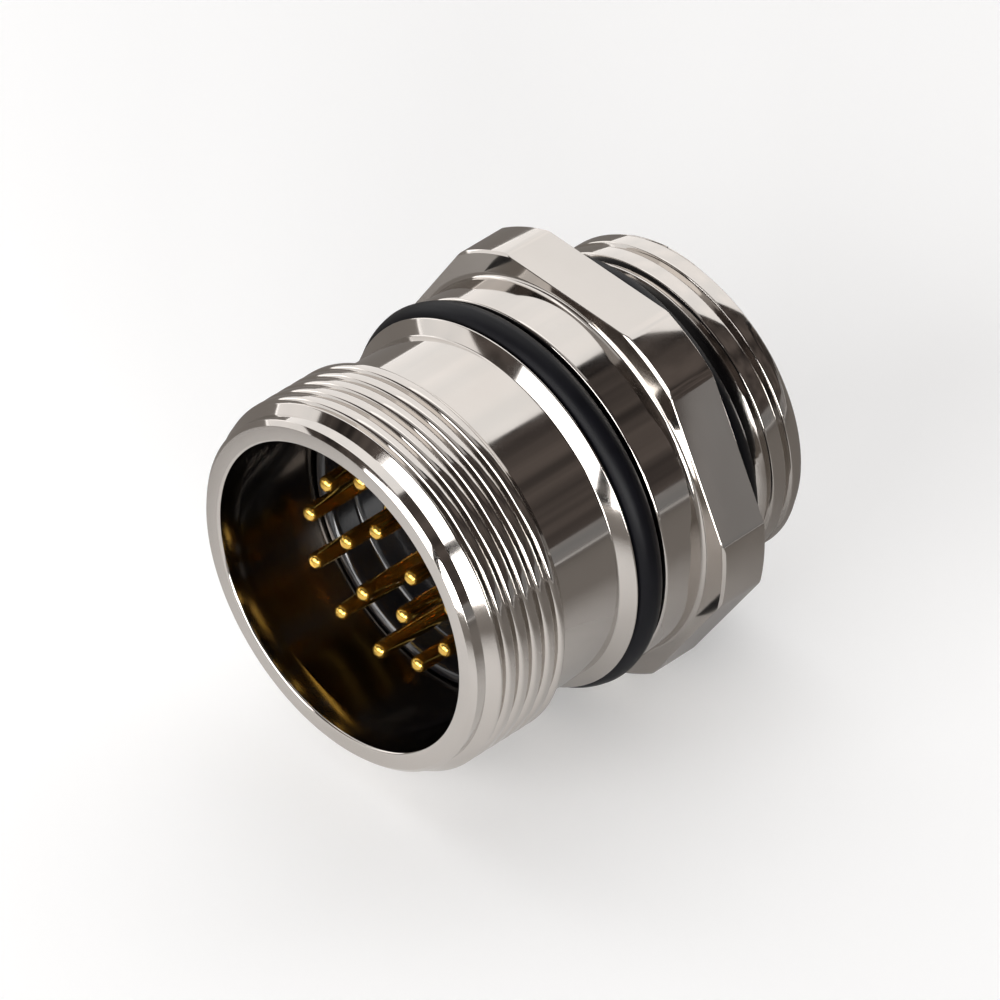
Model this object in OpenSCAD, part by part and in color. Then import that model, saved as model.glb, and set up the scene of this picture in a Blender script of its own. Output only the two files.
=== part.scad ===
// Circular connector receptacle for panel mounting, with sixteen male contacts
// Millimetres, Z up: it lies on one wrench flat with the mating end towards -Y, over the middle of its length

/* [Mating end of the shell] */
// Outside diameter of the mating thread
mating_thread_d = 23; // [21:0.5:27]
// Pitch of the mating thread
mating_pitch = 1; // [0.5:0.25:1.5]
// Length of the mating thread
mating_thread_length = 5.9; // [4:0.1:10]
// Length of the plain nose in front of the mating thread
nose_length = 0.9; // [0.8:0.1:2.5]
// Rounding of the rim
rim_round = 0.3; // [0.2:0.1:0.6]
// Length of the lead cone over the first turn of the thread
lead_length = 0.6; // [0.3:0.1:2]
// Drop of the lead cone below the crest of the thread
lead_drop = 0.6; // [0.3:0.1:0.8]
// Wall between the root of the mating thread and the cup
cup_wall = 1.4; // [1.2:0.1:2]
// Chamfer at the mouth of the cup
mouth_chamfer = 0.2; // [0.1:0.05:0.4]

/* [Neck, lip and collar] */
// Length of the neck behind the mating thread
neck_length = 4.6; // [2:0.1:8]
// Drop of the neck below the crest of the mating thread
neck_drop = 0.8; // [0.6:0.1:1.2]
// Length of the lip in front of the mating seal
lip_length = 0.7; // [0.4:0.1:1.5]
// Length of the lip's cylindrical land
lip_land = 0.05; // [0.05:0.05:0.3]
// Length of the collar behind the mating seal
collar_length = 2.95; // [2:0.05:6]
// Step from the wrench flats down to the collar
collar_step = 0.7; // [0.6:0.1:1.5]
// Rounding of the collar's front edge
collar_round = 0.2; // [0.1:0.05:0.4]

/* [Flange with the wrench flats] */
// Width across the wrench flats
wrench_af = 24.8; // [24:0.1:26]
// Turned diameter of the flange
flange_d = 26.6; // [26.2:0.1:28.6]
// Thickness of the flange
flange_thickness = 3.3; // [2:0.1:5]
// Fillet between the collar and the flange
flange_fillet = 0.3; // [0.1:0.1:0.6]
// Edge break round the flange's rear corners
rear_break = 0.1; // [0.05:0.05:0.3]
// Edge break round the flange's front corners
front_break = 0.15; // [0.05:0.05:0.3]

/* [Panel end of the shell] */
// Outside diameter of the panel thread
panel_thread_d = 20; // [18:0.5:22]
// Pitch of the panel thread
panel_pitch = 1.5; // [0.75:0.25:2]
// Length of the panel thread with its run-out
panel_thread_length = 4; // [3:0.5:12]
// Distance from the rear end to the first crest of the panel thread
first_crest = 0.45; // [0.3:0.05:0.7]
// Chamfer at the end of the panel thread
end_chamfer = 0.25; // [0.1:0.05:0.5]
// Wall between the root of the panel thread and the rear bore
rear_wall = 1.48; // [1.2:0.04:2]
// Distance from the rear end to the retaining ring
ring_setback = 2.15; // [1.5:0.05:3]

/* [Seals] */
// Section of the seal on the mating end
mating_seal_section = 1.78; // [1.5:0.02:2.4]
// Height that the mating seal stands out of its groove
mating_seal_proud = 0.3; // [0.1:0.05:0.4]
// Section of the seal on the panel end
panel_seal_section = 2.1; // [1.5:0.1:2.4]
// Room beside the panel seal in the thread's relief
relief_room = 0.35; // [0.1:0.05:1]
// Play of each seal against the groove
seal_play = 0.02; // [0.01:0.01:0.1]
// Play of the mating seal against each side of its groove
groove_play = 0.11; // [0.02:0.01:0.2]

/* [Insulators] */
// Play of the insulators in the shell, all round
insert_play = 0.1; // [0.05:0.05:0.2]
// Thickness of the carrier's head under its contact face
head_thickness = 1.95; // [1.5:0.05:3]
// Width of the rib round the contact face
rib_width = 0.75; // [0.6:0.05:1]
// Height of the rib above the contact face
rib_height = 2.05; // [1.5:0.05:4]
// Rounding of the rib's inner edge
rib_round = 0.45; // [0.1:0.05:0.5]
// Rounding of the rib's outer edge
rib_edge_round = 0.15; // [0.05:0.05:0.25]
// Fillet between the contact face and the rib
face_fillet = 0.3; // [0.1:0.05:0.5]
// Distance from the lip's front to the shoulder that the carrier sits on
shoulder_lift = 0.2; // [0:0.1:1]
// Width of the coding notch in the rib
notch_width = 2; // [1:0.1:3]
// Width of the key that stops the carrier from turning
key_width = 2; // [1:0.1:3]
// Height of the key
key_height = 1.2; // [0.8:0.1:2]
// Reach of the key beyond the carrier's body
key_reach = 1; // [0.5:0.1:1.2]
// Thickness of the contact retainer
retainer_thickness = 2.4; // [1.5:0.1:4]

/* [Retaining ring] */
// Thickness of the ring
ring_thickness = 0.8; // [0.5:0.05:1.2]
// Width of the ring, measured along a radius
ring_width = 1.1; // [0.9:0.05:1.3]
// Depth of the ring's groove in the rear bore
ring_groove_depth = 0.5; // [0.3:0.05:0.7]
// Gap between the ring's ends
ring_gap = 3; // [2:0.5:6]
// Play of the ring in its groove
ring_play = 0.05; // [0.02:0.01:0.1]

/* [Contacts] */
// Number of contacts on the outer circle
outer_count = 11; // [6:1:11]
// Number of contacts on the inner circle
inner_count = 5; // [3:1:5]
// Distance from the carrier's side to the outer circle of contacts
outer_edge = 1.77; // [1.5:0.01:2.2]
// Distance from the outer circle to the inner circle
circle_spacing = 2.99; // [2.6:0.01:3.2]
// Angle of the first outer contact, in which the pattern is mirrored, from +X towards the top
pattern_angle = 206.5; // [0:0.5:359.5]
// Diameter of the pins
pin_d = 1; // [0.6:0.05:1.1]
// Rounding of the pins' tips
tip_round = 0.4; // [0.1:0.05:0.45]
// Distance from the rim to the pins' tips
tip_recess = 3; // [2:0.1:4.5]
// Diameter of the shank in the carrier
shank_d = 1.4; // [1.35:0.05:1.6]
// Distance from the contact face down to the end of the shank
shank_setback = 0.05; // [0.02:0.01:0.1]
// Diameter of the collar that holds a contact in
contact_collar_d = 2; // [1.8:0.05:2.2]
// Length of the collar
contact_collar_length = 1.2; // [0.8:0.1:2]
// Diameter of the solder cup
tail_d = 1.6; // [1.4:0.05:1.7]
// Bore of the solder cup
solder_bore_d = 1.1; // [0.7:0.05:1.2]
// Depth of the solder cup
solder_depth = 2.6; // [1.5:0.1:3.5]
// Length of the opening in the solder cup's side
solder_window = 1.9; // [1:0.1:2.4]
// Distance from the rear end to the solder cups
tail_setback = 0.8; // [0.5:0.1:1.5]
// Play of the contacts in the insulators
contact_play = 0.03; // [0.02:0.01:0.06]

/* [Hidden] */
$fn = 96;

contact_count = outer_count + inner_count;
function contact_name(index) = str("contact_", index < 10 ? "0" : "", index);

// Thread form: sixty-degree flanks, a crest an eighth of the pitch wide
flank_angle = 30;
thread_depth_ratio = 0.6134;
function thread_depth(pitch) = thread_depth_ratio * pitch;
function crest_width(pitch) = pitch / 8;

// Radii of the shell
mating_r = mating_thread_d / 2;
mating_root_r = mating_r - thread_depth(mating_pitch);
nose_r = mating_r - lead_drop;
neck_r = mating_r - neck_drop;
cup_r = mating_root_r - cup_wall;
flange_r = flange_d / 2;
collar_r = wrench_af / 2 - collar_step;
seal_groove_r = collar_r + mating_seal_proud - mating_seal_section - seal_play;
panel_r = panel_thread_d / 2;
panel_root_r = panel_r - thread_depth(panel_pitch);
rear_bore_r = panel_root_r - rear_wall;
ring_groove_r = rear_bore_r + ring_groove_depth;

// Heights along the shell, from the rear end to the rim
flange_z = panel_thread_length + panel_seal_section + relief_room;
collar_z = flange_z + flange_thickness;
seal_groove_z = collar_z + collar_length;
lip_z = seal_groove_z + mating_seal_section + 2 * groove_play;
neck_z = lip_z + lip_length;
mating_z = neck_z + neck_length;
nose_z = mating_z + mating_thread_length;
rim_z = nose_z + nose_length;

// Insulators
shoulder_z = neck_z + shoulder_lift;
face_z = shoulder_z + head_thickness;
rib_z = face_z + rib_height;
head_r = cup_r - insert_play;
face_r = head_r - rib_width;
body_r = rear_bore_r - insert_play;
retainer_z = ring_setback + ring_thickness;
body_z = retainer_z + retainer_thickness;
key_angle = pattern_angle + 180;

// Contacts
outer_r = body_r - outer_edge;
inner_r = outer_r - circle_spacing;
tip_z = rim_z - tip_recess;
shank_z = face_z - shank_setback;
contact_collar_z = body_z + contact_collar_length;

// A cut reaches this far past the face that it opens
past = 1;

// Each piece is made upright on the rear end, and then laid on the wrench flat
module lie_down() {
    translate([0, rim_z / 2, wrench_af / 2])
        rotate([90, 0, 0])
            children();
}

// Half sections, with X as the radius and Y as the height

module disc_section(radius, low, high) {
    translate([0, low])
        square([radius, high - low]);
}

module ring_section(inner, outer, low, high) {
    translate([inner, low])
        square([outer - inner, high - low]);
}

// Closed rings in place of the helix, which keep its pitch, depth and flanks and start inside the core
module thread_rings(crest_r, pitch, first, count) {
    depth = thread_depth(pitch);
    half_crest = crest_width(pitch) / 2;
    half_root = half_crest + depth * tan(flank_angle);
    core = depth + crest_width(pitch);
    for (turn = [0 : count - 1])
        translate([crest_r, first + turn * pitch])
            polygon([
                [-core, -half_root], [-depth, -half_root], [0, -half_crest],
                [0, half_crest], [-depth, half_root], [-core, half_root]
            ]);
}

// What is left of a square corner outside a rounding, for cutting off: right is 1 for an outer edge
module corner_waste(radius, height, rounding, right = 1) {
    translate([radius - right * rounding, height - rounding])
        difference() {
            translate([right > 0 ? 0 : -2 * rounding, 0])
                square(2 * rounding);
            circle(rounding);
        }
}

// Fillet in the corner of a wall and a floor: right is 1 for a wall that faces out
module concave_fillet(radius, height, rounding, right = 1) {
    translate([right > 0 ? radius : radius - rounding, height])
        difference() {
            square(rounding);
            translate([right > 0 ? rounding : 0, rounding])
                circle(rounding);
        }
}

module panel_end_section() {
    runout = thread_depth(panel_pitch);
    intersection() {
        polygon([
            [0, 0], [panel_r - end_chamfer, 0], [panel_r, end_chamfer],
            [panel_r, panel_thread_length - runout], [panel_root_r, panel_thread_length],
            [panel_root_r, flange_z], [0, flange_z]
        ]);
        union() {
            disc_section(panel_root_r, 0, flange_z);
            thread_rings(panel_r, panel_pitch, first_crest, ceil(panel_thread_length / panel_pitch));
        }
    }
}

module flange_section() {
    polygon([
        [0, flange_z], [flange_r - rear_break, flange_z], [flange_r, flange_z + rear_break],
        [flange_r, collar_z - front_break], [flange_r - front_break, collar_z], [0, collar_z]
    ]);
}

module middle_section() {
    difference() {
        disc_section(collar_r, flange_z, seal_groove_z);
        corner_waste(collar_r, seal_groove_z, collar_round);
    }
    concave_fillet(collar_r, collar_z, flange_fillet);
    disc_section(seal_groove_r, seal_groove_z, lip_z);
    polygon([[0, lip_z], [collar_r, lip_z], [collar_r, lip_z + lip_land], [neck_r, neck_z], [0, neck_z]]);
    disc_section(neck_r, neck_z, mating_z);
}

module mating_end_section() {
    intersection() {
        difference() {
            polygon([
                [0, mating_z], [mating_r, mating_z], [mating_r, nose_z - lead_length],
                [nose_r, nose_z], [nose_r, rim_z], [0, rim_z]
            ]);
            corner_waste(nose_r, rim_z, rim_round);
        }
        union() {
            disc_section(mating_root_r, mating_z, nose_z);
            thread_rings(mating_r, mating_pitch, mating_z + mating_pitch / 2,
                round(mating_thread_length / mating_pitch));
            disc_section(mating_r, nose_z, rim_z);
        }
    }
}

module bore_section() {
    disc_section(rear_bore_r, -past, shoulder_z + past);
    disc_section(cup_r, shoulder_z, rim_z + past);
    polygon([
        [0, rim_z - mouth_chamfer], [cup_r, rim_z - mouth_chamfer],
        [cup_r + mouth_chamfer + past, rim_z + past], [0, rim_z + past]
    ]);
    disc_section(ring_groove_r, ring_setback - ring_play, retainer_z + ring_play);
}

module wrench_prism() {
    translate([0, 0, flange_z])
        linear_extrude(flange_thickness)
            circle(r = wrench_af / 2 / cos(30), $fn = 6);
}

// Key of the carrier, or with play the slot for it in the shell's shoulder
module key_block(play) {
    rotate([0, 0, key_angle])
        translate([body_r - past, -key_width / 2 - play, shoulder_z - key_height - play])
            cube([past + key_reach + play, key_width + 2 * play, key_height + play]);
}

// Contacts 1 to outer_count are on the outer circle, and the rest are on the inner one
module at_contact(index) {
    outer = index <= outer_count;
    step = outer ? (index - 1) * 360 / outer_count : (index - outer_count - 0.5) * 360 / inner_count;
    rotate([0, 0, pattern_angle + step])
        translate([outer ? outer_r : inner_r, 0, 0])
            children();
}

module shell() {
    color("gainsboro")
        lie_down()
            difference() {
                union() {
                    rotate_extrude() {
                        panel_end_section();
                        middle_section();
                        mating_end_section();
                    }
                    intersection() {
                        rotate_extrude()
                            flange_section();
                        wrench_prism();
                    }
                }
                rotate_extrude()
                    bore_section();
                key_block(insert_play);
            }
}

module mating_o_ring() {
    color("dimgray")
        lie_down()
            translate([0, 0, seal_groove_z + groove_play + mating_seal_section / 2])
                rotate_extrude()
                    translate([seal_groove_r + seal_play + mating_seal_section / 2, 0])
                        circle(d = mating_seal_section);
}

module panel_o_ring() {
    color("dimgray")
        lie_down()
            translate([0, 0, flange_z - seal_play - panel_seal_section / 2])
                rotate_extrude()
                    translate([panel_root_r + seal_play + panel_seal_section / 2, 0])
                        circle(d = panel_seal_section);
}

module contact_carrier() {
    color("darkslategray")
        lie_down()
            difference() {
                union() {
                    rotate_extrude() {
                        disc_section(body_r, body_z, shoulder_z);
                        disc_section(head_r, shoulder_z, face_z);
                        concave_fillet(face_r, face_z, face_fillet, -1);
                        difference() {
                            ring_section(face_r, head_r, face_z, rib_z);
                            corner_waste(head_r, rib_z, rib_edge_round);
                            corner_waste(face_r, rib_z, rib_round, -1);
                        }
                    }
                    key_block(0);
                }
                for (index = [1 : contact_count])
                    at_contact(index) {
                        translate([0, 0, body_z - past])
                            cylinder(r = shank_d / 2 + contact_play, h = face_z - body_z + 2 * past);
                        translate([0, 0, body_z - past])
                            cylinder(r = contact_collar_d / 2 + contact_play,
                                h = contact_collar_length + contact_play + past);
                    }
                rotate([0, 0, key_angle])
                    translate([face_r - 2 * face_fillet, -notch_width / 2, face_z])
                        cube([2 * face_fillet + rib_width + past, notch_width, rib_height + past]);
            }
}

module contact_retainer() {
    color("darkslategray")
        lie_down()
            difference() {
                translate([0, 0, retainer_z])
                    cylinder(r = body_r, h = retainer_thickness);
                for (index = [1 : contact_count])
                    at_contact(index)
                        translate([0, 0, retainer_z - past])
                            cylinder(r = tail_d / 2 + contact_play, h = retainer_thickness + 2 * past);
            }
}

module retaining_ring() {
    outer = ring_groove_r - ring_play;
    color("slategray")
        lie_down()
            translate([0, 0, ring_setback])
                difference() {
                    cylinder(r = outer, h = ring_thickness);
                    translate([0, 0, -past])
                        cylinder(r = outer - ring_width, h = ring_thickness + 2 * past);
                    rotate([0, 0, key_angle])
                        translate([0, -ring_gap / 2, -past])
                            cube([outer + past, ring_gap, ring_thickness + 2 * past]);
                }
}

module contact(index) {
    color("gold")
        lie_down()
            at_contact(index)
                difference() {
                    rotate_extrude() {
                        disc_section(tail_d / 2, tail_setback, body_z + contact_play);
                        disc_section(contact_collar_d / 2, body_z + contact_play, contact_collar_z);
                        disc_section(shank_d / 2, contact_collar_z, shank_z);
                        difference() {
                            disc_section(pin_d / 2, shank_z, tip_z);
                            corner_waste(pin_d / 2, tip_z, tip_round);
                        }
                    }
                    translate([0, 0, tail_setback - past])
                        cylinder(d = solder_bore_d, h = solder_depth + past);
                    translate([0, -tail_d, tail_setback - past])
                        cube([tail_d, 2 * tail_d, solder_window + past]);
                }
}

shell();
mating_o_ring();
panel_o_ring();
contact_carrier();
contact_retainer();
retaining_ring();
for (index = [1 : contact_count])
    contact(index);
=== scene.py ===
"""Looks for a circular connector receptacle, laid over the solids of its frame.

Sizes are in millimetres until a vertex is made. Heights run along the shell's axis, from its rear end.
"""
import math

import bmesh
import bpy
from mathutils import Matrix, Vector


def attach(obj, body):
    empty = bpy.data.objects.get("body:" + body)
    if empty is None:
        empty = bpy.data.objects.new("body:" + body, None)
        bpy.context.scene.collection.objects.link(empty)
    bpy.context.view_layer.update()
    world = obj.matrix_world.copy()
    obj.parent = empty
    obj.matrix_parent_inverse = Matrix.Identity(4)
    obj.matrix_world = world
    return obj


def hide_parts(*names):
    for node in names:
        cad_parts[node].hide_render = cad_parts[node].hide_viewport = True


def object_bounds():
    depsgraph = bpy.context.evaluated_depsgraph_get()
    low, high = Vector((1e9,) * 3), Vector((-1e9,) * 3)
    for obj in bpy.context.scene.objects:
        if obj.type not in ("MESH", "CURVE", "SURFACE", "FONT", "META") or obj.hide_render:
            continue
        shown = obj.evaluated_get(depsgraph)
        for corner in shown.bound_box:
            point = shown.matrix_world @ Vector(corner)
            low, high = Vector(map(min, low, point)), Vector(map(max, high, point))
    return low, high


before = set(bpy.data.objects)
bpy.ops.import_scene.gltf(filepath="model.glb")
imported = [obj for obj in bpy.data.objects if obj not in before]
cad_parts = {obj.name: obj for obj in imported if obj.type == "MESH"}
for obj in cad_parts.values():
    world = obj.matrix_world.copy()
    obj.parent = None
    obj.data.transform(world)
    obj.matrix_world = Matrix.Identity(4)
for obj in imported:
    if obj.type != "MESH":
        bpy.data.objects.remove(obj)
cad_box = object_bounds()

# Camera
# It looks down on the mating end from the right, as the photograph does, and leans a little.
# The long lens gives the photograph's weak perspective.
mm = 0.001
aim = Vector((-0.19, -0.58, 12.08)) * mm
camera_distance = 505.24 * mm
camera_azimuth = math.radians(43.84)
camera_elevation = math.radians(41.05)
camera_lean = math.radians(2.87)
camera_data = bpy.data.cameras.new("photo_camera")
camera_data.sensor_width = 36
camera_data.lens = 324
camera_data.clip_start = 10 * mm
camera = bpy.data.objects.new("photo_camera", camera_data)
bpy.context.scene.collection.objects.link(camera)
camera.matrix_world = (
    Matrix.Translation(aim)
    @ Matrix.Rotation(camera_azimuth, 4, "Z")
    @ Matrix.Rotation(math.pi / 2 - camera_elevation, 4, "X")
    @ Matrix.Rotation(camera_lean, 4, "Z")
    @ Matrix.Translation((0, 0, camera_distance))
)
bpy.context.scene.camera = camera
bpy.context.scene.view_settings.view_transform = "Standard"


# Floor
# A wide sheet of white card, which the part lies on with one wrench flat.
# Its own glow for the camera and for mirror-like surfaces brings it up to white and leaves the shadow.
def linear(hex_colour):
    """An sRGB colour such as "#c0c0c0" as linear red, green, blue and alpha."""
    shares = [int(hex_colour[place : place + 2], 16) / 255 for place in (1, 3, 5)]
    return [s / 12.92 if s <= 0.04045 else ((s + 0.055) / 1.055) ** 2.4 for s in shares] + [1.0]


def add_node(tree, kind, settings=None, inputs=None):
    """A new node with its properties set, and each input linked to a socket or set to a value."""
    node = tree.nodes.new(kind)
    for name, value in (settings or {}).items():
        setattr(node, name, value)
    for key, value in (inputs or {}).items():
        socket = node.inputs[key]
        if isinstance(value, bpy.types.NodeSocket):
            tree.links.new(value, socket)
        else:
            socket.default_value = value
    return node


def new_material(name):
    """An empty node material, with its tree and its output node."""
    material = bpy.data.materials.new(name)
    material.use_nodes = True
    material.node_tree.nodes.clear()
    return material, material.node_tree, add_node(material.node_tree, "ShaderNodeOutputMaterial")


def lay_card(name, reach, middle, material):
    """A square of card that lies level round its middle, and isn't part of the object."""
    mesh = bpy.data.meshes.new(name)
    corners = [(-reach, -reach, 0), (reach, -reach, 0), (reach, reach, 0), (-reach, reach, 0)]
    mesh.from_pydata(corners, [], [(0, 1, 2, 3)])
    mesh.materials.append(material)
    card = bpy.data.objects.new(name, mesh)
    card.location = middle
    bpy.context.scene.collection.objects.link(card)
    return card


floor_reach = 3000 * mm
floor_height = cad_box[0][2]
floor_glow = 0.2
white_card, tree, output = new_material("white_card")
matt = add_node(tree, "ShaderNodeBsdfDiffuse", inputs={"Color": linear("#ececec")})
path = add_node(tree, "ShaderNodeLightPath")
mirrored = add_node(
    tree, "ShaderNodeMath", {"operation": "MAXIMUM"},
    {0: path.outputs["Is Glossy Ray"], 1: path.outputs["Is Transmission Ray"]},
)
seen = add_node(
    tree, "ShaderNodeMath", {"operation": "MAXIMUM"},
    {0: path.outputs["Is Camera Ray"], 1: mirrored.outputs[0]},
)
glow_strength = add_node(
    tree, "ShaderNodeMath", {"operation": "MULTIPLY"}, {0: seen.outputs[0], 1: floor_glow}
)
glow = add_node(tree, "ShaderNodeEmission", inputs={"Strength": glow_strength.outputs[0]})
both = add_node(tree, "ShaderNodeAddShader", inputs={0: matt.outputs[0], 1: glow.outputs[0]})
tree.links.new(both.outputs[0], output.inputs["Surface"])
lay_card("floor", floor_reach, Vector((0, 0, floor_height)), white_card)

# Painted reflection: a sheet just above the floor that only mirror-like surfaces see, clear near the part and
# grey beyond it, which gives the metal a darker lower side
grey_reach = 600 * mm
grey_lift = 0.5 * mm
white_within = 12 * mm
grey_beyond = 56 * mm
painted_reflection_card, tree, output = new_material("painted_reflection_card")
spot = add_node(tree, "ShaderNodeTexCoord")
away = add_node(tree, "ShaderNodeVectorMath", {"operation": "LENGTH"}, {0: spot.outputs["Object"]})
grey_share = add_node(
    tree, "ShaderNodeMapRange", {"interpolation_type": "SMOOTHSTEP"},
    {"Value": away.outputs["Value"], "From Min": white_within, "From Max": grey_beyond},
)
white_part = add_node(tree, "ShaderNodeBsdfTransparent")
grey_part = add_node(tree, "ShaderNodeBsdfDiffuse", inputs={"Color": linear("#8c8884")})
fading = add_node(
    tree, "ShaderNodeMixShader",
    inputs={0: grey_share.outputs[0], 1: white_part.outputs[0], 2: grey_part.outputs[0]},
)
tree.links.new(fading.outputs[0], output.inputs["Surface"])
surround = lay_card("painted_reflection_card", grey_reach, Vector((12 * mm, -30 * mm, floor_height + grey_lift)), painted_reflection_card)
# The camera doesn't see the sheet and it casts no shadow, so it shows only as a painted reflection
surround.visible_camera = False
surround.visible_diffuse = False
surround.visible_shadow = False

# Light
# Two wide white panels stand on the left, behind the part and before it, and dimmer ones low on the right
# and overhead. A tall lamp before the part and a bank of two low lamps on its right draw the bright lines.
# The room is dim, and plated metal shows it as a dark band.
lamp_distance = 600 * mm


def softbox(name, toward, width, height, radiance):
    """A white panel that faces the part from that direction; radiance 1 shows as white in a mirror."""
    lamp = bpy.data.lights.new(name, "AREA")
    lamp.shape = "RECTANGLE"
    lamp.size = width * mm
    lamp.size_y = height * mm
    lamp.energy = radiance * math.pi * lamp.size * lamp.size_y
    panel = bpy.data.objects.new(name, lamp)
    panel.matrix_world = (
        Matrix.Translation(aim + toward.normalized() * lamp_distance)
        @ toward.to_track_quat("Z", "Y").to_matrix().to_4x4()
    )
    bpy.context.scene.collection.objects.link(panel)


softbox("rear_panel", Vector((-0.70, 0.60, 0.42)), 1700, 1300, 1.25)
softbox("front_panel", Vector((-0.75, -0.62, 0.10)), 900, 300, 1.1)
softbox("low_panel", Vector((0.83, 0.544, 0.03)), 800, 140, 0.24)
softbox("top_panel", Vector((-0.25, 0.0, 0.97)), 550, 550, 0.5)
softbox("tall_lamp", Vector((0.03, -0.93, 0.37)), 460, 380, 5.0)
bank_elevation = math.radians(10)
bank_first = math.radians(37)
bank_step = math.radians(20)
for bay in range(2):
    bay_turn = bank_first + bank_step * bay
    level = Vector((math.sin(bay_turn), -math.cos(bay_turn), 0)) * math.cos(bank_elevation)
    raised = Vector((0, 0, math.sin(bank_elevation)))
    softbox(f"bank_lamp_{bay + 1}", level + raised, 160, 220, 12.0)

room = bpy.data.worlds.new("room")
room.use_nodes = True
bpy.context.scene.world = room
tree = room.node_tree
tree.nodes.clear()
around = add_node(tree, "ShaderNodeTexCoord")
clutter = add_node(
    tree, "ShaderNodeTexNoise",
    inputs={"Vector": around.outputs["Generated"], "Scale": 5.0, "Detail": 3.0},
)
things = add_node(
    tree, "ShaderNodeMapRange",
    inputs={"Value": clutter.outputs["Fac"], "From Min": 0.35, "From Max": 0.7},
)
walls = add_node(
    tree, "ShaderNodeMix", {"data_type": "RGBA"},
    {"Factor": things.outputs[0], "A": linear("#1c1a1a"), "B": linear("#6e6560")},
)
air = add_node(tree, "ShaderNodeBackground", inputs={"Color": walls.outputs["Result"]})
add_node(tree, "ShaderNodeOutputWorld", inputs={"Surface": air.outputs[0]})


# Shell
# One piece of turned brass with bright nickel plate: panel thread, flange with six milled wrench flats,
# collar, O-ring groove, lip, neck and mating thread. The solid has rings for threads; here they are helices.
def nickel_plate(name, clean, stained, smooth, dull):
    """Bright nickel over turned metal: a warm grey mirror, dulled in places, with faint turning marks."""
    material, tree, output = new_material(name)
    place = add_node(tree, "ShaderNodeTexCoord")
    # Turning marks are drawn twice as far apart as real ones, so that they show
    mark_spacing = 0.125 * mm
    mark_length = 16.7 * mm
    marks_vector = add_node(
        tree, "ShaderNodeMapping",
        inputs={
            "Vector": place.outputs["Object"],
            "Scale": (1 / mark_length, 1 / mark_spacing, 1 / mark_length),
        },
    )
    marks = add_node(
        tree, "ShaderNodeTexNoise", inputs={"Vector": marks_vector.outputs[0], "Scale": 1.0, "Detail": 2.0}
    )
    smudge_size = 4.55 * mm
    smudges = add_node(
        tree, "ShaderNodeTexNoise",
        inputs={"Vector": place.outputs["Object"], "Scale": 1 / smudge_size, "Detail": 4.0},
    )
    roughness = add_node(
        tree, "ShaderNodeMapRange",
        inputs={
            "Value": smudges.outputs["Fac"], "From Min": 0.3, "From Max": 0.7,
            "To Min": smooth, "To Max": dull,
        },
    )
    tint = add_node(
        tree, "ShaderNodeMix", {"data_type": "RGBA"},
        {"Factor": smudges.outputs["Fac"], "A": linear(clean), "B": linear(stained)},
    )
    bump = add_node(
        tree, "ShaderNodeBump",
        inputs={"Height": marks.outputs["Fac"], "Strength": 0.006, "Distance": 0.02 * mm},
    )
    shader = add_node(
        tree, "ShaderNodeBsdfPrincipled",
        inputs={
            "Base Color": tint.outputs["Result"], "Metallic": 1.0,
            "Roughness": roughness.outputs[0], "Normal": bump.outputs[0],
        },
    )
    tree.links.new(shader.outputs[0], output.inputs["Surface"])
    return material


polished = nickel_plate("nickel_plate", "#cac5c0", "#c1bbb5", 0.05, 0.1)
# Down in the bored cup the plate is duller, and its colour is darker: painted shade in the recess
bored = nickel_plate("nickel_plate_bore_shaded", "#8a837c", "#746c65", 0.1, 0.17)

# Radii, widths across, and the steps and walls between them
thread_depth = 0.6134
mating_r = 11.5
mating_pitch = 1.0
mating_root_r = mating_r - thread_depth * mating_pitch
panel_r = 10.0
panel_pitch = 1.5
panel_root_r = panel_r - thread_depth * panel_pitch
wrench_af = 24.8
flange_r = 13.3
collar_step = 0.7
collar_r = wrench_af / 2 - collar_step
neck_drop = 0.8
neck_r = mating_r - neck_drop
seal_section = 1.78
seal_proud = 0.3
seal_play = 0.02
seal_groove_r = collar_r + seal_proud - seal_section - seal_play
cup_wall = 1.4
cup_r = mating_root_r - cup_wall
rear_wall = 1.48
rear_bore_r = panel_root_r - rear_wall
ring_groove_depth = 0.5
ring_groove_r = rear_bore_r + ring_groove_depth

# Lengths along the axis, and the heights that they add up to
panel_length = 4.0
relief_length = 2.45
flange_h = panel_length + relief_length
flange_thickness = 3.3
collar_h = flange_h + flange_thickness
collar_length = 2.95
seal_groove_h = collar_h + collar_length
groove_play = 0.11
lip_h = seal_groove_h + seal_section + 2 * groove_play
lip_length = 0.7
neck_h = lip_h + lip_length
neck_length = 4.6
mating_h = neck_h + neck_length
mating_length = 5.9
nose_h = mating_h + mating_length
nose_length = 0.9
rim_h = nose_h + nose_length
shoulder_lift = 0.2
shoulder_h = neck_h + shoulder_lift
ring_low_h = 2.1
ring_high_h = 3.0

# Rounding of the edges, and the cuts at the ends
edge = 0.08
rim_chamfer = 0.27
mouth_round = 0.2
mouth_flare = 0.12
mouth_depth = 1.5
neck_round = 0.12
collar_round = 0.2
flange_fillet = 0.3
end_chamfer = 0.25
runout = 0.2
lead_h = nose_h - (mating_r - mating_root_r)


def from_axis(radius, angle, height):
    """The point at that distance from the axis, angle from +X to the top, and height from the rear end."""
    return Vector(
        (radius * math.cos(angle), rim_h / 2 - height, wrench_af / 2 + radius * math.sin(angle))
    ) * mm


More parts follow.
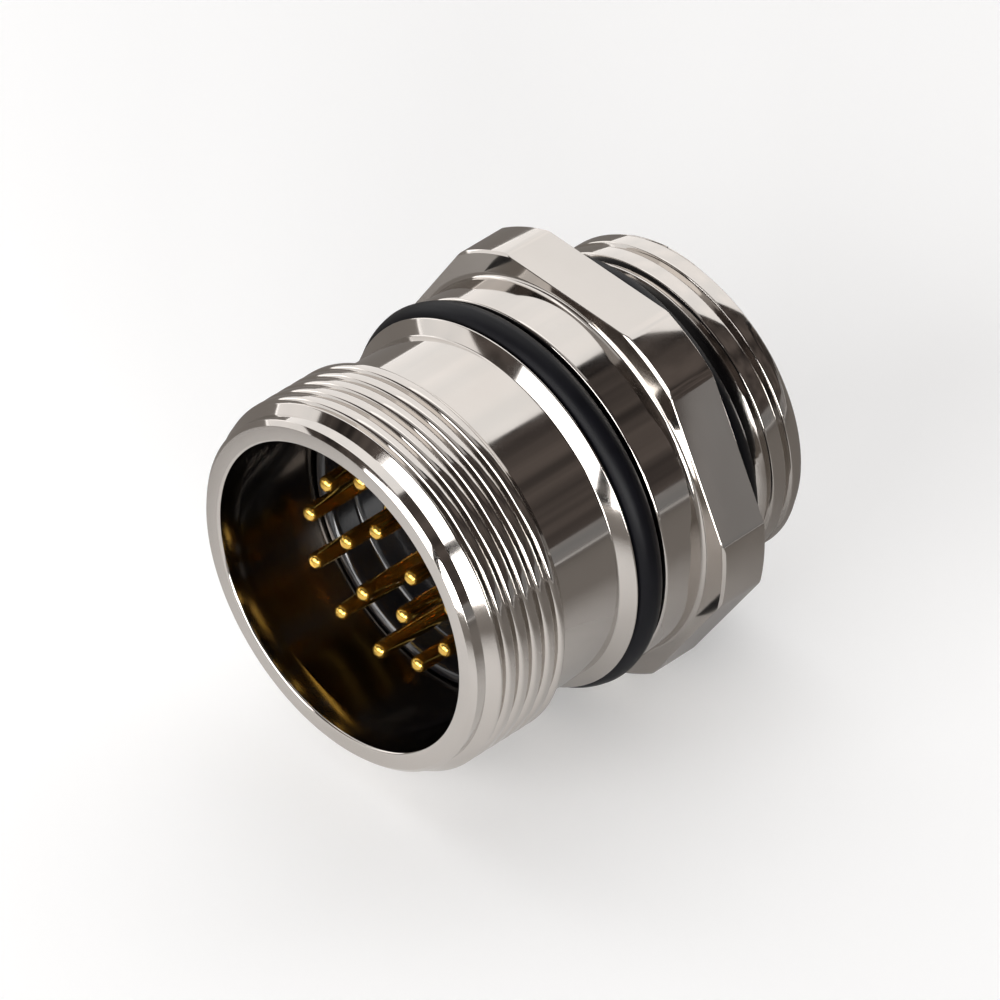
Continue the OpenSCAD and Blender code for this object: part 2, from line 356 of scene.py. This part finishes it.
def rounded(corners, steps=6):
    """Points of a closed outline of (radius, height, rounding) corners, with an arc at each corner."""
    points = []
    for index, (radius, height, rounding) in enumerate(corners):
        corner = Vector((radius, height))
        if rounding == 0:
            points.append(corner)
            continue
        back = (Vector(corners[index - 1][:2]) - corner).normalized()
        ahead = (Vector(corners[(index + 1) % len(corners)][:2]) - corner).normalized()
        half_angle = back.angle(ahead) / 2
        centre = corner + (back + ahead).normalized() * rounding / math.sin(half_angle)
        reach = rounding / math.tan(half_angle)
        first = corner + back * reach - centre
        last = corner + ahead * reach - centre
        start = math.atan2(first.y, first.x)
        turn = (math.atan2(last.y, last.x) - start + math.pi) % (2 * math.pi) - math.pi
        for step in range(steps + 1):
            angle = start + turn * step / steps
            points.append(centre + Vector((math.cos(angle), math.sin(angle))) * rounding)
    return points


def loft(mesh, outlines):
    """Adds a closed ring round the axis, from one closed outline for each column."""
    rings = []
    for column, outline in enumerate(outlines):
        angle = 2 * math.pi * column / len(outlines)
        rings.append([mesh.verts.new(from_axis(p.x, angle, p.y)) for p in outline])
    for column, ring in enumerate(rings):
        following = rings[(column + 1) % len(rings)]
        for row in range(len(ring)):
            after = (row + 1) % len(ring)
            mesh.faces.new((ring[row], ring[after], following[after], following[row]))


def lathe(mesh, outline, columns=288):
    """Adds the closed ring that one outline sweeps round the axis."""
    loft(mesh, [outline] * columns)


def mating_limit(height):
    """Radius that the run-out and the lead cone leave of the mating thread."""
    runout_r = mating_root_r + max(0.0, height - mating_h + runout)
    lead_r = mating_r - max(0.0, height - lead_h)
    return min(mating_r, runout_r, lead_r)


def panel_limit(height):
    """Radius that the end chamfer and the run-out leave of the panel thread."""
    return min(panel_r, panel_r - end_chamfer + height, panel_root_r + max(0.0, panel_length - height))


flank_angle = math.radians(30)
flank_steps = 4
root_overlap = 0.04


def thread(mesh, crest_r, pitch, low, high, first_crest, land, crest_round, limit, steps=144):
    """Adds the right-hand ridge of a sixty-degree thread, trimmed to low, high and limit.

    Its crest is level for land each side of its middle, and then rounded down into the flanks.
    """
    slope = math.tan(flank_angle)
    flat = land + crest_round * slope
    rounded_to = land + crest_round * math.cos(flank_angle)
    buried_r = crest_r - thread_depth * pitch - root_overlap

    def ridge_radius(offset):
        """Radius of the ridge at that distance along the axis from its middle."""
        from_middle = abs(offset)
        if from_middle < land:
            return crest_r
        if from_middle < rounded_to:
            return crest_r - crest_round + math.sqrt(crest_round**2 - (from_middle - land) ** 2)
        return crest_r - (from_middle - flat) / slope

    half_width = min(flat + (crest_r - buried_r) * slope, pitch / 2)
    crest = [land + crest_round * math.sin(math.radians(turn)) for turn in range(0, 61, 10)]
    flank = [crest[-1] + (half_width - crest[-1]) * (step + 1) / flank_steps for step in range(flank_steps)]
    side = crest + flank
    offsets = [-offset for offset in reversed(side)] + [0.0] + side
    start = low - half_width
    turns = (high + half_width - start) / pitch
    rows = []
    for step in range(int(turns * steps) + 1):
        centre = start + pitch * step / steps
        angle = 2 * math.pi * (centre - first_crest) / pitch
        row = []
        for offset in offsets:
            height = min(max(centre + offset, low), high)
            radius = min(ridge_radius(offset), ridge_radius(height - centre), limit(height))
            row.append(mesh.verts.new(from_axis(max(radius, buried_r), angle, height)))
        rows.append(row)
    for row, following in zip(rows, rows[1:]):
        for a, b, c, d in zip(row, row[1:], following[1:], following):
            mesh.faces.new((a, b, c, d))


def new_piece(name, mesh, material, slot, *nodes):
    """A smooth object of that mesh, which rides with the part and stands for those nodes."""
    bmesh.ops.remove_doubles(mesh, verts=mesh.verts, dist=0.001 * mm)
    bmesh.ops.recalc_face_normals(mesh, faces=mesh.faces)
    data = bpy.data.meshes.new(name)
    mesh.to_mesh(data)
    mesh.free()
    data.shade_smooth()
    data.materials.append(material)
    piece = bpy.data.objects.new(name, data)
    bpy.context.scene.collection.objects.link(piece)
    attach(piece, "root")
    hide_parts(*nodes)
    return piece


# The flange is turned together with the collar, and then six flats are milled on it, with soft corners
flat_blend = 0.12
front_break = 0.15
rear_break = 0.1
flange_columns = 720
flange_overlap = 0.5
flange_inner_r = panel_root_r - flange_overlap


def flange_outline(angle):
    """Section through the flange and the collar at that angle."""
    from_flat = angle % (math.pi / 3) - math.pi / 6
    flat_r = wrench_af / 2 / math.cos(from_flat)
    share = min(max(0.5 + (flange_r - flat_r) / (2 * flat_blend), 0.0), 1.0)
    side_r = flat_r * share + flange_r * (1 - share) - flat_blend * share * (1 - share)
    front_cut = max(front_break - (flange_r - side_r), edge / 2)
    rear_cut = max(rear_break - (flange_r - side_r), edge / 2)
    cut_round = edge / 8
    return rounded([
        (flange_inner_r, flange_h, 0),
        (side_r - rear_cut, flange_h, cut_round),
        (side_r, flange_h + rear_cut, cut_round),
        (side_r, collar_h - front_cut, cut_round),
        (side_r - front_cut, collar_h, cut_round),
        (collar_r, collar_h, flange_fillet),
        (collar_r, seal_groove_h, collar_round),
        (seal_groove_r - edge, seal_groove_h, 0),
        (flange_inner_r, seal_groove_h, 0),
    ])


body = bmesh.new()
loft(body, [flange_outline(2 * math.pi * column / flange_columns) for column in range(flange_columns)])
lathe(body, rounded([
    (rear_bore_r, 0, edge),
    (panel_root_r, 0, edge),
    (panel_root_r, seal_groove_h - edge, 0),
    (seal_groove_r, seal_groove_h - edge, 0),
    (seal_groove_r, lip_h, edge),
    (collar_r, lip_h, edge),
    (neck_r, neck_h, neck_round),
    (neck_r, mating_h, edge),
    (mating_root_r, mating_h, edge),
    (mating_root_r, rim_h - rim_chamfer, edge),
    (mating_root_r - rim_chamfer, rim_h, edge / 2),
    (cup_r + mouth_flare, rim_h, mouth_round),
    (cup_r, rim_h - mouth_depth, edge),
    (cup_r, shoulder_h, edge),
    (rear_bore_r, shoulder_h, edge),
    (rear_bore_r, ring_high_h, 0),
    (ring_groove_r, ring_high_h, 0),
    (ring_groove_r, ring_low_h, 0),
    (rear_bore_r, ring_low_h, 0),
]))
# The mating thread has narrow, rounded crests and the panel thread wide, flat ones, as in the photograph
thread(
    body, mating_r, mating_pitch, mating_h - runout, nose_h,
    first_crest=mating_h - 0.6, land=0.1, crest_round=0.3, limit=mating_limit,
)
thread(
    body, panel_r, panel_pitch, 0.0, panel_length,
    first_crest=0.45, land=0.42, crest_round=0.12, limit=panel_limit,
)
shell = new_piece("shell_plated", body, polished, "nickel_plate", "shell")
# The faces in the cup take the darker plate, which paints shade into the recess
shell.data.materials.append(bored)
bored_within = (cup_r + mouth_flare / 2) * mm
bored_behind = (rim_h / 2 - shoulder_h + edge) * mm
for face in shell.data.polygons:
    from_middle = math.hypot(face.center.x, face.center.z - wrench_af / 2 * mm)
    if from_middle < bored_within and face.center.y < bored_behind:
        face.material_index = 1
shell.modifiers.new("even_normals", "WEIGHTED_NORMAL")

# Mating O-ring
# A moulded ring of black nitrile rubber, stretched into the groove between the lip and the collar.
# It stands a little proud, and its mould line runs round the outside.

# The rubber is nearly black, with a soft sheen that a little dust breaks up
rubber, tree, output = new_material("seal_rubber")
dust_size = 1.11 * mm
place = add_node(tree, "ShaderNodeTexCoord")
dust = add_node(
    tree, "ShaderNodeTexNoise",
    inputs={"Vector": place.outputs["Object"], "Scale": 1 / dust_size, "Detail": 5.0},
)
rubber_colour = add_node(
    tree, "ShaderNodeMix", {"data_type": "RGBA"},
    {"Factor": dust.outputs["Fac"], "A": linear("#050508"), "B": linear("#0c0c12")},
)
rubber_roughness = add_node(
    tree, "ShaderNodeMapRange", inputs={"Value": dust.outputs["Fac"], "To Min": 0.34, "To Max": 0.5}
)
rubber_bump = add_node(
    tree, "ShaderNodeBump", inputs={"Height": dust.outputs["Fac"], "Strength": 0.15, "Distance": 0.02 * mm}
)
rubber_shader = add_node(
    tree, "ShaderNodeBsdfPrincipled",
    inputs={
        "Base Color": rubber_colour.outputs["Result"], "Roughness": rubber_roughness.outputs[0],
        "Normal": rubber_bump.outputs[0], "Specular IOR Level": 0.15,
    },
)
tree.links.new(rubber_shader.outputs[0], output.inputs["Surface"])
mould_line = 0.02


def o_ring(name, node, section, centre_r, centre_h, steps=48):
    """A rubber ring of round section, with a mould line round the outside."""
    outline = []
    for step in range(steps):
        angle = 2 * math.pi * step / steps
        reach = section / 2
        if step == 0:
            reach += mould_line
        outline.append(Vector((centre_r + reach * math.cos(angle), centre_h + reach * math.sin(angle))))
    mesh = bmesh.new()
    lathe(mesh, outline)
    new_piece(name, mesh, rubber, "seal_rubber", node)


o_ring(
    "mating_seal", "mating_o_ring", seal_section,
    seal_groove_r + seal_play + seal_section / 2, seal_groove_h + groove_play + seal_section / 2,
)

# Panel O-ring
# A thicker ring of the same rubber, stretched over the panel thread into the relief behind the flange.
# The flange squeezes it on the panel.
panel_section = 2.1
o_ring(
    "panel_seal", "panel_o_ring", panel_section,
    panel_root_r + seal_play + panel_section / 2, flange_h - seal_play - panel_section / 2,
)

# Contact carrier
# An insulator moulded in black plastic, which drops in from the front and sits on the shell's shoulder.
# Its flat face and the rib round it show behind the pins.

# The plastic comes black and glossy from its mould, with a fine grain under a smooth skin
plastic, tree, output = new_material("insulator")
grain_size = 0.4 * mm
place = add_node(tree, "ShaderNodeTexCoord")
grain = add_node(
    tree, "ShaderNodeTexNoise",
    inputs={"Vector": place.outputs["Object"], "Scale": 1 / grain_size, "Detail": 3.0},
)
plastic_colour = add_node(
    tree, "ShaderNodeMix", {"data_type": "RGBA"},
    {"Factor": grain.outputs["Fac"], "A": linear("#0c0c0e"), "B": linear("#17171a")},
)
plastic_roughness = add_node(
    tree, "ShaderNodeMapRange", inputs={"Value": grain.outputs["Fac"], "To Min": 0.14, "To Max": 0.22}
)
plastic_bump = add_node(
    tree, "ShaderNodeBump", inputs={"Height": grain.outputs["Fac"], "Strength": 0.2, "Distance": 0.01 * mm}
)
plastic_shader = add_node(
    tree, "ShaderNodeBsdfPrincipled",
    inputs={
        "Base Color": plastic_colour.outputs["Result"], "Roughness": plastic_roughness.outputs[0],
        "Normal": plastic_bump.outputs[0],
        "Specular IOR Level": 0.5, "Coat Weight": 0.5, "Coat Roughness": 0.06,
    },
)
tree.links.new(plastic_shader.outputs[0], output.inputs["Surface"])


def finish_node(name, material):
    """Gives a solid of the frame its material."""
    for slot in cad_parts[name].material_slots:
        slot.material = material


finish_node("contact_carrier", plastic)

# Contacts
# Sixteen turned brass pins with gold plate, eleven in the outer circle and five inside.
# Each stands through the carrier, which holds its collar against the retainer, and ends in a solder cup.

# The plate is a deep yellow mirror, and duller on the tumbled tips and in the drilled and milled cups
gold, tree, output = new_material("gold_plate")
contact_length = 23.0
dull_tip = 0.345
bright_from = 0.69
bright_to = 18.4
dull_cup = 19.32
wear_size = 0.667 * mm
place = add_node(tree, "ShaderNodeTexCoord")
wear = add_node(
    tree, "ShaderNodeTexNoise",
    inputs={"Vector": place.outputs["Object"], "Scale": 1 / wear_size, "Detail": 4.0},
)
gold_colour = add_node(
    tree, "ShaderNodeMix", {"data_type": "RGBA"},
    {"Factor": wear.outputs["Fac"], "A": linear("#f0c96a"), "B": linear("#e0b04a")},
)
along = add_node(tree, "ShaderNodeSeparateXYZ", inputs={0: place.outputs["Generated"]})
tip_roughness = add_node(
    tree, "ShaderNodeMapRange",
    inputs={
        "Value": along.outputs["Y"],
        "From Min": dull_tip / contact_length, "From Max": bright_from / contact_length,
        "To Min": 0.22, "To Max": 0.11,
    },
)
cup_roughness = add_node(
    tree, "ShaderNodeMapRange",
    inputs={
        "Value": along.outputs["Y"],
        "From Min": bright_to / contact_length, "From Max": dull_cup / contact_length,
        "To Min": 0.0, "To Max": 0.32,
    },
)
gold_roughness = add_node(
    tree, "ShaderNodeMath", {"operation": "MAXIMUM"},
    {0: tip_roughness.outputs[0], 1: cup_roughness.outputs[0]},
)
gold_shader = add_node(
    tree, "ShaderNodeBsdfPrincipled",
    inputs={
        "Base Color": gold_colour.outputs["Result"], "Metallic": 1.0, "Roughness": gold_roughness.outputs[0]
    },
)
tree.links.new(gold_shader.outputs[0], output.inputs["Surface"])
contact_count = 16
for index in range(1, contact_count + 1):
    finish_node(f"contact_{index:02d}", gold)

# Contact retainer
# A disc moulded in the same black plastic, pushed in from the rear behind the carrier.
# It traps the contacts' collars, and the solder cups pass through it.
finish_node("contact_retainer", plastic)

# Retaining ring
# An open ring of spring steel, stamped from strip and snapped into a groove of the rear bore.
# It holds both insulators in.

# The steel is dark grey, with a dull sheen that is uneven from rolling and oil
steel, tree, output = new_material("spring_steel")
streak_size = 0.833 * mm
place = add_node(tree, "ShaderNodeTexCoord")
rolling = add_node(
    tree, "ShaderNodeTexNoise",
    inputs={"Vector": place.outputs["Object"], "Scale": 1 / streak_size, "Detail": 4.0},
)
steel_colour = add_node(
    tree, "ShaderNodeMix", {"data_type": "RGBA"},
    {"Factor": rolling.outputs["Fac"], "A": linear("#6e6e70"), "B": linear("#58585a")},
)
steel_roughness = add_node(
    tree, "ShaderNodeMapRange", inputs={"Value": rolling.outputs["Fac"], "To Min": 0.25, "To Max": 0.4}
)
steel_shader = add_node(
    tree, "ShaderNodeBsdfPrincipled",
    inputs={
        "Base Color": steel_colour.outputs["Result"], "Metallic": 1.0, "Roughness": steel_roughness.outputs[0]
    },
)
tree.links.new(steel_shader.outputs[0], output.inputs["Surface"])
finish_node("retaining_ring", steel)
